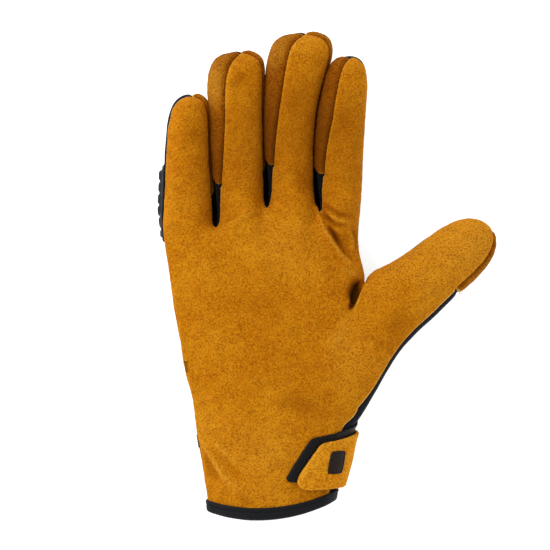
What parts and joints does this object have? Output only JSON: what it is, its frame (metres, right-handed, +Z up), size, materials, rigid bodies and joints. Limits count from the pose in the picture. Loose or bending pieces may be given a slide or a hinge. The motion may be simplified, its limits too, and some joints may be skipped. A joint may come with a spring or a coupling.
{
  "type": "insulated glove",
  "caption": "Right-hand insulated work glove with a suede palm, cloth back, moulded knuckle guard, bound cuff and fastened wrist strap, lying on its back.",
  "frame": {"origin": "on the floor under the middle of the palm, on the flattened cloth back", "axes": "+X to the thumb side, +Y along the fingers to the tips, +Z up out of the palm"},
  "size_m": [0.1783, 0.2562, 0.0441],
  "materials": {
    "tan_suede": "napped suede",
    "side_suede": "napped suede",
    "strap_suede": "rough napped suede",
    "black_fabric": "matt stretch cloth",
    "black_tape": "ribbed tape",
    "black_hook": "hook fastener",
    "brown_patch": "smooth, blank",
    "slate_rubber": "satin moulded"
  },
  "bodies": {
    "root": {"palm_panel": "tan_suede", "back_panel": "black_fabric", "thumb_side_strip": "side_suede", "side_wall_little_inner": "side_suede", "side_wall_ring_inner": "side_suede", "side_wall_middle_inner": "side_suede", "side_wall_ring_outer": "side_suede", "side_wall_middle_outer": "side_suede", "side_wall_index_outer": "side_suede", "crotch_gusset_little_ring": "black_fabric", "crotch_gusset_ring_middle": "black_fabric", "crotch_gusset_middle_index": "black_fabric", "knuckle_guard": "slate_rubber", "cuff_binding": "black_tape", "strap_hook_pad": "black_hook", "wrist_strap": "strap_suede", "strap_label": "brown_patch"}
  },
  "joints": []
}
